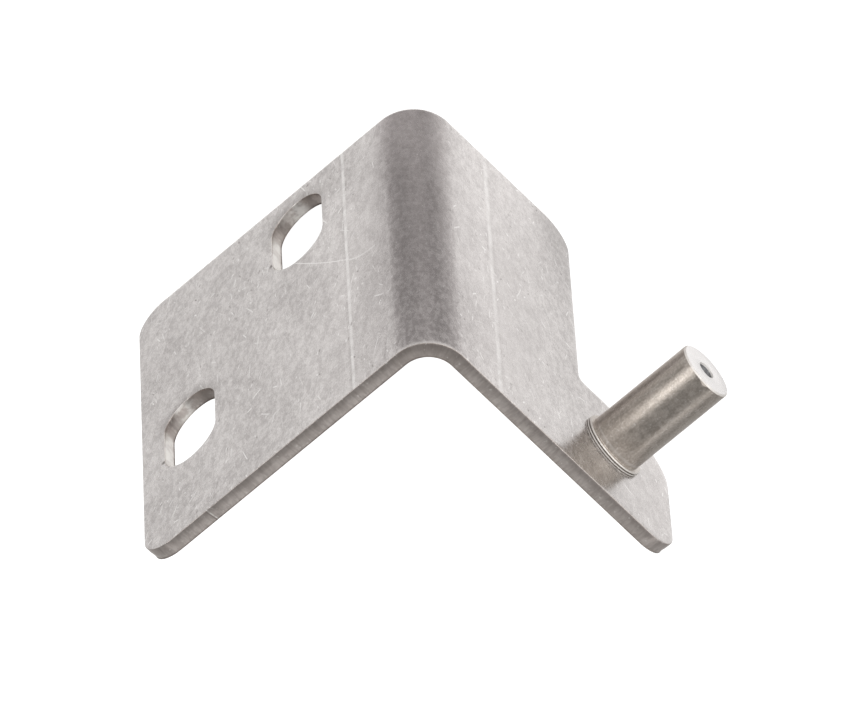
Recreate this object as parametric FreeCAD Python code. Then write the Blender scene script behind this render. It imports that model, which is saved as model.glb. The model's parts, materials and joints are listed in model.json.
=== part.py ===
import FreeCAD, Part
import math
import os

os.makedirs("parts", exist_ok=True)

Vector = FreeCAD.Vector

# Fryer door hinge: a folded sheet bracket that carries one turned pivot pin.
# Millimetres. The origin is on the pin's axis, at the collar face that the door's bush sits on.
# +X runs out along the pin. +Y is square to the slotted flange, out of its mounting face.
# +Z runs along the fold, towards the edge that the pin's tab is flush with.

# Sheet
sheet_t = 2.0
bend_inner_r = 4.0

# Outline of the folded plate, each length taken from the outer face of the other flange
plate_height = 62.5
slotted_flange_len = 48.1
pin_flange_len = 28.6
tab_reach = 44.7
tab_height = 24.4
corner_r = 4.5
tab_corner_r = 7.0
step_fillet_r = 1.0

# Mounting slots in the slotted flange, long side along the fold, placed by their centres
slot_width = 8.5
slot_length = 15.1
near_slot_from_free_end = 8.1
near_slot_from_near_edge = 24.3
far_slot_from_pin_face = 20.9
far_slot_from_far_edge = 10.9

# Pivot pin, with its place on the tab
pin_r = 4.0
pin_len = 15.2
pin_tip_break = 0.2
collar_r = 4.62
collar_h = 0.6
centre_mouth_r = 1.25
centre_cone_angle = 60.0
centre_pilot_r = 0.6
centre_pilot_depth = 2.6
drill_point_angle = 118.0
pin_from_tab_end = 10.7
pin_from_near_edge = 13.8

# Riveted tail of the pin, behind the plate
tail_r = 3.0
tail_clearance = 0.05
rivet_head_r = 4.2
rivet_head_h = 0.9
rivet_head_crown_r = 2.6

# Places that follow from the sizes
bend_outer_r = bend_inner_r + sheet_t
pin_face_x = -collar_h
pin_back_x = pin_face_x - sheet_t
free_end_x = pin_face_x - slotted_flange_len
mounting_face_y = tab_reach - pin_from_tab_end
inner_face_y = mounting_face_y - sheet_t
step_y = mounting_face_y - pin_flange_len
tab_end_y = mounting_face_y - tab_reach
near_z = pin_from_near_edge
far_z = near_z - plate_height
tab_far_z = near_z - tab_height
near_slot_x = free_end_x + near_slot_from_free_end
near_slot_z = near_z - near_slot_from_near_edge
far_slot_x = pin_face_x - far_slot_from_pin_face
far_slot_z = far_z + far_slot_from_far_edge


def line(start, end):
    """Straight edge between two points."""
    return Part.makeLine(Vector(*start), Vector(*end))


def arc(start, middle, end):
    """Circular edge through three points."""
    return Part.Arc(Vector(*start), Vector(*middle), Vector(*end)).toShape()


def folded_strip():
    """The bent sheet before its outline is cut: an L section drawn along the fold."""
    bend_x = pin_face_x - bend_outer_r
    bend_y = mounting_face_y - bend_outer_r
    diagonal = math.sqrt(0.5)

    def on_bend(radius):
        return (bend_x + radius * diagonal, bend_y + radius * diagonal, far_z)

    section = Part.Wire([
        line((free_end_x, mounting_face_y, far_z), (bend_x, mounting_face_y, far_z)),
        arc((bend_x, mounting_face_y, far_z), on_bend(bend_outer_r), (pin_face_x, bend_y, far_z)),
        line((pin_face_x, bend_y, far_z), (pin_face_x, tab_end_y, far_z)),
        line((pin_face_x, tab_end_y, far_z), (pin_back_x, tab_end_y, far_z)),
        line((pin_back_x, tab_end_y, far_z), (pin_back_x, bend_y, far_z)),
        arc((pin_back_x, bend_y, far_z), on_bend(bend_inner_r), (bend_x, inner_face_y, far_z)),
        line((bend_x, inner_face_y, far_z), (free_end_x, inner_face_y, far_z)),
        line((free_end_x, inner_face_y, far_z), (free_end_x, mounting_face_y, far_z)),
    ])
    return Part.Face(section).extrude(Vector(0, 0, plate_height))


def beside_the_tab():
    """The sheet that is cut away beside the tab, from the step to the tab's end."""
    size = (sheet_t, step_y - tab_end_y, tab_far_z - far_z)
    return Part.makeBox(*size, Vector(pin_back_x, tab_end_y, far_z))


def edge_through(solid, point):
    """The straight edge that runs through the sheet at a corner of its outline."""
    target = Vector(*point)
    return min(solid.Edges, key=lambda edge: edge.CenterOfMass.distanceToPoint(target))


def rounded_outline(solid):
    """The plate with every corner of its outline rounded."""
    slotted_mid_y = mounting_face_y - sheet_t / 2
    pin_mid_x = pin_face_x - sheet_t / 2
    corners = [
        ((free_end_x, slotted_mid_y, near_z), corner_r),
        ((free_end_x, slotted_mid_y, far_z), corner_r),
        ((pin_mid_x, step_y, far_z), corner_r),
        ((pin_mid_x, step_y, tab_far_z), step_fillet_r),
        ((pin_mid_x, tab_end_y, tab_far_z), tab_corner_r),
        ((pin_mid_x, tab_end_y, near_z), corner_r),
    ]
    for point, radius in corners:
        solid = solid.makeFillet(radius, [edge_through(solid, point)])
    return solid


def slot_cutter(x, z):
    """A slot with round ends, right through the slotted flange."""
    half_width = slot_width / 2
    half_run = slot_length / 2 - half_width
    y = inner_face_y
    outline = Part.Wire([
        line((x - half_width, y, z - half_run), (x - half_width, y, z + half_run)),
        arc((x - half_width, y, z + half_run), (x, y, z + half_run + half_width),
            (x + half_width, y, z + half_run)),
        line((x + half_width, y, z + half_run), (x + half_width, y, z - half_run)),
        arc((x + half_width, y, z - half_run), (x, y, z - half_run - half_width),
            (x - half_width, y, z - half_run)),
    ])
    return Part.Face(outline).extrude(Vector(0, sheet_t, 0))


def tail_hole():
    """The round hole that the pin's tail is riveted through."""
    return Part.makeCylinder(tail_r + tail_clearance, sheet_t,
                             Vector(pin_back_x, 0, 0), Vector(1, 0, 0))


def make_bracket():
    """The whole folded plate, with its step, slots and hole."""
    plate = folded_strip().cut(beside_the_tab())
    plate = rounded_outline(plate)
    cutters = [
        slot_cutter(near_slot_x, near_slot_z),
        slot_cutter(far_slot_x, far_slot_z),
        tail_hole(),
    ]
    return plate.cut(cutters)


def make_pin():
    """The turned pin: centre-drilled tip, body, collar, tail and riveted head."""
    cone_floor_x = pin_len - (centre_mouth_r - centre_pilot_r) / math.tan(math.radians(centre_cone_angle / 2))
    pilot_floor_x = pin_len - centre_pilot_depth
    drill_point_h = centre_pilot_r / math.tan(math.radians(drill_point_angle / 2))
    head_back_x = pin_back_x - rivet_head_h
    profile = [
        (head_back_x, 0),
        (head_back_x, rivet_head_crown_r),
        (pin_back_x, rivet_head_r),
        (pin_back_x, tail_r),
        (pin_face_x, tail_r),
        (pin_face_x, collar_r),
        (0, collar_r),
        (0, pin_r),
        (pin_len - pin_tip_break, pin_r),
        (pin_len, pin_r - pin_tip_break),
        (pin_len, centre_mouth_r),
        (cone_floor_x, centre_pilot_r),
        (pilot_floor_x, centre_pilot_r),
        (pilot_floor_x - drill_point_h, 0),
        (head_back_x, 0),
    ]
    outline = Part.makePolygon([Vector(x, radius, 0) for x, radius in profile])
    return Part.Face(outline).revolve(Vector(0, 0, 0), Vector(1, 0, 0), 360)


pieces = {
    "hinge_bracket": make_bracket(),
    "pivot_pin": make_pin(),
}

for node, shape in pieces.items():
    solid = shape.Solids[0]
    print(node, "valid", solid.isValid(), "volume", round(solid.Volume, 2), "mm3")
    solid.exportStep("parts/" + node + ".step")
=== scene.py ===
import json
import logging
import math
from dataclasses import dataclass
from enum import Enum
from typing import Iterable

import bmesh
import bpy
from mathutils import Matrix, Vector, noise


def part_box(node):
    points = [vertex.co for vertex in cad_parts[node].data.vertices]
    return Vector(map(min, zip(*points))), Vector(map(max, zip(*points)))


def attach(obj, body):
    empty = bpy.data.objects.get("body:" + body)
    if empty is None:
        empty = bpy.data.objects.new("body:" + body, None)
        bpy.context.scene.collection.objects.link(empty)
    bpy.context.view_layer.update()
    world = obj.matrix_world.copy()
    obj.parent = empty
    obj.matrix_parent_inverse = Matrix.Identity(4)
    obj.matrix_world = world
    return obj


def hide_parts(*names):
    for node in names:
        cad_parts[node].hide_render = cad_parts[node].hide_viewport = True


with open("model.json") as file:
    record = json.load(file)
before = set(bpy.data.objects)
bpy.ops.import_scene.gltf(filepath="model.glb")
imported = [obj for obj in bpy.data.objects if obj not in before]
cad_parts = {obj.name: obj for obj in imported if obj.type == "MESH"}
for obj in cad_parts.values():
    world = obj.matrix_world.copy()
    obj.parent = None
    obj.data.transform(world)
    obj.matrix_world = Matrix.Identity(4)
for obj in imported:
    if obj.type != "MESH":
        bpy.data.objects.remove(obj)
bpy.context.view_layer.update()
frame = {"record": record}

# Fryer door hinge: a folded sheet bracket with two slots, and a turned pivot pin on its tab.
# Metres, in the part's own frame: +X out along the pin, +Y out of the slotted flange's mounting
# face, +Z along the fold towards the edge that the tab is flush with.

LOG = logging.getLogger("fryer_door_hinge")
MM = 0.001
MERGE_DISTANCE = 0.0005 * MM
Color = tuple[float, float, float]


class Skin(Enum):
    """Where a face of the bracket lies, which gives it its material."""

    ROLLED_FACE = 0
    CUT_WALL = 1


class PinSkin(Enum):
    """Where a face of the pin lies, which gives it its material."""

    TURNED = 0
    FACED_TIP = 1
    DRILLED = 2


@dataclass(frozen=True)
class Slot:
    """A slot with round ends in the flat pattern, its long side across it.

    Attributes:
        along: Its centre along the flat pattern.
        across: Its centre across the flat pattern.
        radius: Half its width.
        length: Its whole length, or twice the radius for a round hole.
    """

    along: float
    across: float
    radius: float
    length: float


class NodeGraph:
    """Short forms for adding nodes to one node tree."""

    def __init__(self, tree: bpy.types.NodeTree) -> None:
        """Keep the tree."""
        self.tree = tree

    def add(self, kind: str, feeds: dict | None = None, **settings: object) -> bpy.types.Node:
        """Add a node.

        Args:
            kind: The node's type.
            feeds: A value or an output socket for each input, by name or number.
            settings: The node's own properties.

        Returns:
            The new node.
        """
        node = self.tree.nodes.new(kind)
        for name, value in settings.items():
            setattr(node, name, value)
        for key, value in (feeds or {}).items():
            self.feed(node.inputs[key], value)
        return node

    def feed(self, socket: bpy.types.NodeSocket, value: object) -> None:
        """Link an output to a socket, or set the socket's own value."""
        if isinstance(value, bpy.types.NodeSocket):
            self.tree.links.new(value, socket)
        else:
            socket.default_value = value

    def math(self, operation: str, *values: object) -> bpy.types.NodeSocket:
        """Work out one number from up to three."""
        return self.add("ShaderNodeMath", dict(enumerate(values)), operation=operation).outputs[0]

    def spread(self, value: object, start: float, end: float, low: float = 0.0,
               high: float = 1.0) -> bpy.types.NodeSocket:
        """Carry a number smoothly from one range to another.

        Args:
            value: The number to carry.
            start: Where the first range begins.
            end: Where the first range ends.
            low: What the beginning becomes.
            high: What the end becomes.

        Returns:
            The carried number, held at both ends.
        """
        feeds = {"Value": value, "From Min": start, "From Max": end, "To Min": low, "To Max": high}
        return self.add("ShaderNodeMapRange", feeds, interpolation_type="SMOOTHSTEP").outputs[0]

    def stripe(self, value: object, centre: float, half_width: float, soft: float) -> bpy.types.NodeSocket:
        """A mask that is 1 in a band of a value and fades out beside it.

        Args:
            value: The number that the band lies across.
            centre: The middle of the band.
            half_width: Half the band's full part.
            soft: How wide the fade is.

        Returns:
            The mask.
        """
        distance = self.math("ABSOLUTE", self.math("SUBTRACT", value, centre))
        return self.spread(distance, half_width, half_width + soft, 1.0, 0.0)

    def scaled(self, vector: object, scale: Color) -> bpy.types.NodeSocket:
        """Scale a vector by its own factor on each axis."""
        return self.add("ShaderNodeVectorMath", {0: vector, 1: scale}, operation="MULTIPLY").outputs[0]

    def noise(self, vector: object, scale: object, detail: float = 2.0,
              roughness: float = 0.5) -> bpy.types.NodeSocket:
        """Cloudy noise between 0 and 1."""
        feeds = {"Vector": vector, "Scale": scale, "Detail": detail, "Roughness": roughness}
        return self.add("ShaderNodeTexNoise", feeds).outputs[0]

    def blend(self, factor: object, first: object, second: object) -> bpy.types.NodeSocket:
        """Mix two colours."""
        feeds = {0: factor, 6: opaque(first), 7: opaque(second)}
        return self.add("ShaderNodeMix", feeds, data_type="RGBA").outputs[2]

    def split(self, vector: object) -> bpy.types.bpy_prop_collection:
        """The three numbers of a vector."""
        return self.add("ShaderNodeSeparateXYZ", {0: vector}).outputs

    def shared(self, group: bpy.types.NodeTree, feeds: dict) -> bpy.types.bpy_prop_collection:
        """Place a shared node group, feed it and give its outputs."""
        return self.add("ShaderNodeGroup", feeds, node_tree=group).outputs


def opaque(color: object) -> object:
    """A colour with its alpha added, or the socket that was given."""
    return (*color, 1.0) if isinstance(color, tuple) and len(color) == 3 else color


class GroupMaker:
    """Makes a shared node group with named inputs and outputs."""

    def __init__(self, name: str, inputs: dict[str, float | None], outputs: Iterable[str]) -> None:
        """Make the empty group.

        Args:
            name: The group's name.
            inputs: The default of each number that goes in, or None for a vector.
            outputs: The numbers that come out.
        """
        self.tree = bpy.data.node_groups.new(name, "ShaderNodeTree")
        for socket_name, default in inputs.items():
            kind = "NodeSocketVector" if default is None else "NodeSocketFloat"
            socket = self.tree.interface.new_socket(socket_name, in_out="INPUT", socket_type=kind)
            if default is not None:
                socket.default_value = default
        for socket_name in outputs:
            self.tree.interface.new_socket(socket_name, in_out="OUTPUT", socket_type="NodeSocketFloat")
        self.graph = NodeGraph(self.tree)
        self.inputs = self.graph.add("NodeGroupInput").outputs

    def close(self, results: dict[str, bpy.types.NodeSocket]) -> bpy.types.NodeTree:
        """Link the results to the outputs and give the finished group."""
        self.graph.add("NodeGroupOutput", results)
        return self.tree


@dataclass(frozen=True)
class MetalGrain:
    """The grain of bare metal: wide clouds, a mottle and a fine grain.

    Attributes:
        cloud_per_metre: How closely the wide clouds follow each other.
        patch_per_metre: The same for the patches that break the clouds up.
        mottle_per_metre: The same for the mottle.
        grain_per_metre: The same for the fine grain.
        contrast: How far each reaches from its mean before it is held.
    """

    cloud_per_metre: float = 90.0
    patch_per_metre: float = 480.0
    mottle_per_metre: float = 1150.0
    grain_per_metre: float = 3400.0
    contrast: float = 0.14

    def build(self) -> bpy.types.NodeTree:
        """Make the node group."""
        maker = GroupMaker("Metal grain", {"Place": None}, ("Cloud", "Mottle", "Grain"))
        graph, place = maker.graph, maker.inputs["Place"]
        low, high = 0.5 - self.contrast, 0.5 + self.contrast
        cloud = graph.spread(graph.noise(place, self.cloud_per_metre, 3.0), low, high)
        patch = graph.spread(graph.noise(place, self.patch_per_metre, 2.0), low, high)
        mottle = graph.spread(graph.noise(place, self.mottle_per_metre, 2.0, 0.6), low, high)
        grain = graph.spread(graph.noise(place, self.grain_per_metre, 1.0, 0.6), low, high)
        wide = graph.math("MULTIPLY", graph.math("ADD", cloud, patch), 0.5)
        return maker.close({"Cloud": wide, "Mottle": mottle, "Grain": grain})


@dataclass(frozen=True)
class HandlingMarks:
    """Short straight marks turned at random, one at most in each cell of a loose grid."""

    def build(self) -> bpy.types.NodeTree:
        """Make the node group."""
        inputs = {"Place": None, "Cells per metre": 400.0, "Half length": 0.3, "Half width": 0.03,
                  "Share": 0.3}
        maker = GroupMaker("Handling marks", inputs, ("Mark", "Strength"))
        graph, fed = maker.graph, maker.inputs
        scaled = graph.add("ShaderNodeVectorMath", {0: fed["Place"], "Scale": fed["Cells per metre"]},
                           operation="SCALE").outputs[0]
        cell = graph.add("ShaderNodeTexVoronoi", {"Vector": scaled, "Scale": 1.0},
                         voronoi_dimensions="2D").outputs
        local = graph.add("ShaderNodeVectorMath", {0: scaled, 1: cell["Position"]}, operation="SUBTRACT")
        chance = graph.split(cell["Color"])
        turned = graph.add("ShaderNodeVectorRotate", {"Vector": local.outputs[0],
                           "Angle": graph.math("MULTIPLY", chance[0], math.tau)},
                           rotation_type="Z_AXIS").outputs[0]
        reach = graph.split(turned)
        run = graph.math("DIVIDE", graph.math("ABSOLUTE", reach[0]), fed["Half length"])
        bow = graph.math("MULTIPLY", graph.math("MULTIPLY", reach[0], reach[0]), 0.15)
        side = graph.math("DIVIDE", graph.math("ABSOLUTE", graph.math("SUBTRACT", reach[1], bow)),
                          fed["Half width"])
        inside = graph.math("MULTIPLY", graph.spread(run, 0.5, 1.0, 1.0, 0.0),
                            graph.spread(side, 0.3, 1.0, 1.0, 0.0))
        chosen = graph.math("LESS_THAN", chance[1], fed["Share"])
        return maker.close({"Mark": graph.math("MULTIPLY", inside, chosen), "Strength": chance[2]})


class Effects:
    """The node groups that several finishes share."""

    def __init__(self) -> None:
        """Build each group once."""
        self.grain = MetalGrain().build()
        self.marks = HandlingMarks().build()


def new_material(name: str) -> tuple[bpy.types.Material, NodeGraph, bpy.types.Node]:
    """Make a bare metal material.

    Args:
        name: Its name.

    Returns:
        The material, its node graph and its Principled shader.
    """
    material = bpy.data.materials.new(name)
    material.use_nodes = True
    material.node_tree.nodes.clear()
    graph = NodeGraph(material.node_tree)
    shader = graph.add("ShaderNodeBsdfPrincipled", {"Metallic": 1.0})
    graph.add("ShaderNodeOutputMaterial", {"Surface": shader.outputs[0]})
    return material, graph, shader


@dataclass(frozen=True)
class BowedMark:
    """A long mark in the flat pattern that follows an arc above its centre.

    Attributes:
        centre: Centre of the arc.
        radius: Radius of the arc.
        start: Where the mark begins along the flat pattern.
        end: Where it ends.
        half_width: Half its full width.
        soft: How wide it fades out at each side.
        strength: How far it is rubbed bright.
    """

    centre: tuple[float, float]
    radius: float
    start: float
    end: float
    half_width: float
    soft: float
    strength: float

    def mask(self, graph: NodeGraph, flat: bpy.types.NodeSocket,
             place: bpy.types.bpy_prop_collection) -> bpy.types.NodeSocket:
        """Where the mark lies, from 0 to its strength.

        Args:
            graph: The material's node graph.
            flat: The place in the flat pattern.
            place: The same place's three numbers.

        Returns:
            The mask.
        """
        reach = graph.add("ShaderNodeVectorMath", {0: flat, 1: (*self.centre, 0.0)},
                          operation="DISTANCE").outputs["Value"]
        line = graph.stripe(reach, self.radius, self.half_width, self.soft)
        run = graph.stripe(place[0], (self.start + self.end) / 2, (self.end - self.start) / 2, 0.5 * MM)
        above = graph.math("GREATER_THAN", place[1], self.centre[1])
        line = graph.math("MULTIPLY", graph.math("MULTIPLY", line, run), above)
        return graph.math("MULTIPLY", line, self.strength)


@dataclass(frozen=True)
class RolledSheetFinish:
    """The satin skin of the sheet, with its press lines, streaks in the bend and handling marks.

    Attributes:
        bend_start: Where the bend begins along the flat pattern.
        bend_end: Where it ends.
        slots: The slots, round whose far ends the skin is darkened with painted shade.
        dark: The metal in the darker patches of its mottle.
        light: The metal in the lighter patches.
        bright: Freshly rubbed metal, in the marks.
        dull_and_shade: The bottom of a pit and the dark of nicks and scuffs, and also the painted shade beside
            the press lines and round the slots' far ends.
        roughness: The skin's mean roughness.
        relief: Height of the grain.
        press_line_gap: From each end of the bend to the line that the die's shoulder left.
        press_line_half_width: Half that line's width.
        rolling: Scale of the mottle and the marks on each axis, drawn out along the fold, which
            is the way that the sheet was rolled.
        scratches: The long scratch beside the far slot, and the scuff that it ends in.
        pits: Centres of the small dark pits beside the two slots.
    """

    bend_start: float
    bend_end: float
    slots: tuple[Slot, ...]
    dark: Color = (0.49, 0.462, 0.45)
    light: Color = (0.85, 0.82, 0.802)
    bright: Color = (0.99, 0.975, 0.955)
    dull_and_shade: Color = (0.2, 0.178, 0.165)
    roughness: float = 0.26
    relief: float = 0.0014 * MM
    press_line_gap: float = 6.8 * MM
    press_line_half_width: float = 0.12 * MM
    rolling: tuple[float, float, float] = (1.35, 0.58, 1.0)
    scratches: tuple[BowedMark, ...] = (
        BowedMark((91.01 * MM, -76.09 * MM), 79.17 * MM, 26.4 * MM, 35.4 * MM, 0.03 * MM, 0.08 * MM, 0.8),
        BowedMark((39.44 * MM, -22.97 * MM), 5.25 * MM, 35.8 * MM, 39.8 * MM, 0.05 * MM, 0.25 * MM, 0.45),
    )
    pits: tuple[tuple[float, float], ...] = ((22.75 * MM, -34.2 * MM), (3.65 * MM, -6.8 * MM))

    def build(self, effects: Effects) -> bpy.types.Material:
        """Make the material.

        Args:
            effects: The shared node groups.

        Returns:
            The material.
        """
        material, graph, shader = new_material("rolled_sheet")
        flat = graph.add("ShaderNodeUVMap", uv_map="flat").outputs[0]
        place = graph.split(flat)
        grain = graph.shared(effects.grain, {"Place": graph.scaled(flat, self.rolling)})
        tone = graph.math("ADD", graph.math("MULTIPLY", grain["Grain"], 0.21),
                          graph.math("MULTIPLY", grain["Mottle"], 0.36))
        tone = graph.math("ADD", tone, graph.math("MULTIPLY", grain["Cloud"], 0.43))
        tone = graph.math("MULTIPLY_ADD", graph.math("SUBTRACT", tone, 0.5),
                          self.mottling(graph, place), 0.5)
        color = graph.blend(tone, self.dark, self.light)
        streaks = self.streaks(graph, flat, place)
        color = graph.blend(streaks[0], color, self.dark)
        color = graph.blend(streaks[1], color, self.light)
        rubbed = self.rubbed(graph, effects, flat, place)
        color = graph.blend(rubbed, color, self.bright)
        # Darkened by nicks, scuffs and pits, and by painted shade beside the press lines and round the slots'
        # far ends.
        color = graph.blend(self.darkened_and_shaded(graph, effects, flat, place), color, self.dull_and_shade)
        graph.feed(shader.inputs["Base Color"], color)
        rough = graph.math("ADD", self.roughness - 0.04, graph.math("MULTIPLY", grain["Mottle"], 0.08))
        graph.feed(shader.inputs["Roughness"], rough)
        height = graph.math("ADD", grain["Grain"], graph.math("MULTIPLY", grain["Mottle"], 1.5))
        height = graph.math("SUBTRACT", height, graph.math("MULTIPLY", rubbed, 1.2))
        bump = graph.add("ShaderNodeBump", {"Strength": 1.0, "Distance": self.relief, "Height": height})
        graph.feed(shader.inputs["Normal"], bump.outputs[0])
        return material

    def mottling(self, graph: NodeGraph, place: bpy.types.bpy_prop_collection) -> bpy.types.NodeSocket:
        """How strong the mottle is: full on the slotted flange and beside the bend, fainter elsewhere."""
        middle, half = (self.bend_start + self.bend_end) / 2, (self.bend_end - self.bend_start) / 2
        held = graph.math("MULTIPLY", graph.stripe(place[0], middle, half - 2 * MM, 2 * MM), 0.32)
        gap = self.bend_end + self.press_line_gap
        outer = graph.spread(place[0], gap - 3 * MM, gap + 2 * MM, 0.0, 0.22)
        return graph.math("SUBTRACT", graph.math("SUBTRACT", 1.06, held), outer)

    def press_lines(self, graph: NodeGraph, flat: bpy.types.NodeSocket,
                    place: bpy.types.bpy_prop_collection, offset: float) -> bpy.types.NodeSocket:
        """The two lines beside the bend, moved away from it by an offset."""
        wander = graph.math("MULTIPLY", graph.math("SUBTRACT", graph.noise(flat, 160.0), 0.5), 0.3 * MM)
        along = graph.math("ADD", place[0], wander)
        gap = self.press_line_gap + offset
        first = graph.stripe(along, self.bend_start - gap, self.press_line_half_width, 0.2 * MM)
        second = graph.stripe(along, self.bend_end + gap, 1.2 * self.press_line_half_width, 0.4 * MM)
        return graph.math("MAXIMUM", first, graph.math("MULTIPLY", second, 0.85))

    def rubbed(self, graph: NodeGraph, effects: Effects, flat: bpy.types.NodeSocket,
               place: bpy.types.bpy_prop_collection) -> bpy.types.NodeSocket:
        """How far the skin is rubbed bright: short marks, press lines and the long scratch."""
        rolled = graph.scaled(flat, self.rolling)
        fine = graph.shared(effects.marks, {"Place": rolled, "Cells per metre": 640.0, "Half length": 0.2,
                                            "Half width": 0.1, "Share": 0.2})
        clustered = graph.spread(graph.noise(flat, 75.0, 2.0), 0.42, 0.62, 0.12, 0.62)
        coarse = graph.shared(effects.marks, {"Place": graph.scaled(rolled, (1.0, 1.07, 1.0)),
                                              "Cells per metre": 230.0, "Half length": 0.3,
                                              "Half width": 0.028, "Share": clustered})
        short = graph.shared(effects.marks, {"Place": graph.scaled(rolled, (1.05, 1.0, 1.0)),
                                             "Cells per metre": 390.0, "Half length": 0.27,
                                             "Half width": 0.05, "Share": clustered})
        marks = graph.math("MULTIPLY", fine["Mark"], fine["Strength"])
        marks = graph.math("MAXIMUM", marks, graph.math("MULTIPLY", short["Mark"], short["Strength"]))
        marks = graph.math("MAXIMUM", marks, graph.math("MULTIPLY", coarse["Mark"], coarse["Strength"]))
        marks = graph.math("MULTIPLY", marks, self.spared(graph, place))
        pressed = graph.math("MULTIPLY", self.press_lines(graph, flat, place, 0.0),
                             graph.spread(graph.noise(flat, 420.0, 3.0), 0.35, 0.62, 0.26, 0.68))
        specks = graph.spread(graph.noise(rolled, 1500.0, 1.0), 0.7, 0.8, 0.0, 0.8)
        rubbed = graph.math("MAXIMUM", graph.math("MAXIMUM", marks, specks), pressed)
        for scratch in self.scratches:
            rubbed = graph.math("MAXIMUM", rubbed, scratch.mask(graph, flat, place))
        return rubbed

    def spared(self, graph: NodeGraph, place: bpy.types.bpy_prop_collection) -> bpy.types.NodeSocket:
        """How many marks the skin has: fewer in the bend, where the die held it."""
        middle, half = (self.bend_start + self.bend_end) / 2, (self.bend_end - self.bend_start) / 2
        return graph.math("SUBTRACT", 1.0, graph.math("MULTIPLY", graph.stripe(
            place[0], middle, half - 1 * MM, 1 * MM), 0.65))

    def darkened_and_shaded(self, graph: NodeGraph, effects: Effects, flat: bpy.types.NodeSocket,
               place: bpy.types.bpy_prop_collection) -> bpy.types.NodeSocket:
        """How far the skin is darkened: small nicks, scuffs, the pits, and painted shade on the far side of each
        press line and round each slot's far end.
        """
        rolled = graph.scaled(flat, self.rolling)
        nicks = graph.shared(effects.marks, {"Place": graph.scaled(rolled, (1.09, 1.0, 1.0)),
                                             "Cells per metre": 580.0, "Half length": 0.18,
                                             "Half width": 0.09, "Share": 0.16})
        scuffs = graph.shared(effects.marks, {"Place": graph.scaled(rolled, (1.0, 1.13, 1.0)),
                                              "Cells per metre": 150.0, "Half length": 0.3,
                                              "Half width": 0.05, "Share": 0.28})
        darkened_and_shaded = graph.math("MULTIPLY", graph.math("MULTIPLY", nicks["Mark"], nicks["Strength"]), 0.7)
        broken = graph.spread(graph.noise(flat, 1500.0, 2.0), 0.42, 0.6, 0.0, 0.4)
        darkened_and_shaded = graph.math("MAXIMUM", darkened_and_shaded, graph.math("MULTIPLY", graph.math(
            "MULTIPLY", scuffs["Mark"], scuffs["Strength"]), broken))
        darkened_and_shaded = graph.math("MULTIPLY", darkened_and_shaded, self.spared(graph, place))
        # Painted shade: a faint dark line on the far side of each press line.
        beside = graph.math("MULTIPLY", self.press_lines(graph, flat, place, 0.42 * MM), 0.1)
        darkened_and_shaded = graph.math("MAXIMUM", darkened_and_shaded, beside)
        for pit in self.pits:
            reach = graph.add("ShaderNodeVectorMath", {0: flat, 1: (*pit, 0.0)},
                              operation="DISTANCE").outputs["Value"]
            darkened_and_shaded = graph.math("MAXIMUM", darkened_and_shaded, graph.spread(reach, 0.15 * MM, 0.55 * MM, 0.9, 0.0))
        # Painted shade round each slot's far end.
        for slot in self.slots:
            darkened_and_shaded = graph.math("MAXIMUM", darkened_and_shaded, self.painted_shade_at_far_end(graph, flat, place, slot))
        return darkened_and_shaded

    def painted_shade_at_far_end(self, graph: NodeGraph, flat: bpy.types.NodeSocket,
                   place: bpy.types.bpy_prop_collection, slot: Slot) -> bpy.types.NodeSocket:
        """Painted shade round a slot's far end, standing in for the shade where the punch drew the skin in."""
        far_end = slot.across - slot.length / 2 + slot.radius
        reach = graph.add("ShaderNodeVectorMath", {0: flat, 1: (slot.along, far_end, 0.0)},
                          operation="DISTANCE").outputs["Value"]
        ring = graph.spread(reach, slot.radius, slot.radius + 2.2 * MM, 0.34, 0.0)
        return graph.math("MULTIPLY", ring, graph.spread(place[1], far_end - 2 * MM, far_end + 3 * MM, 1.0, 0.0))

    def streaks(self, graph: NodeGraph, flat: bpy.types.NodeSocket,
                place: bpy.types.bpy_prop_collection) -> tuple[bpy.types.NodeSocket, bpy.types.NodeSocket]:
        """The dark and the light streaks round the bend, where the skin was stretched."""
        middle = (self.bend_start + self.bend_end) / 2
        half = (self.bend_end - self.bend_start) / 2
        zone = graph.stripe(place[0], middle, half - 1 * MM, 1.5 * MM)
        lines = graph.noise(graph.scaled(flat, (0.13, 1.0, 1.0)), 1900.0, 2.0, 0.6)
        zone = graph.math("MULTIPLY", zone, graph.spread(graph.noise(flat, 260.0, 2.0), 0.4, 0.62, 0.03, 0.2))
        dark = graph.math("MULTIPLY", zone, graph.spread(lines, 0.48, 0.3))
        light = graph.math("MULTIPLY", zone, graph.spread(lines, 0.52, 0.7))
        return dark, light


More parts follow.
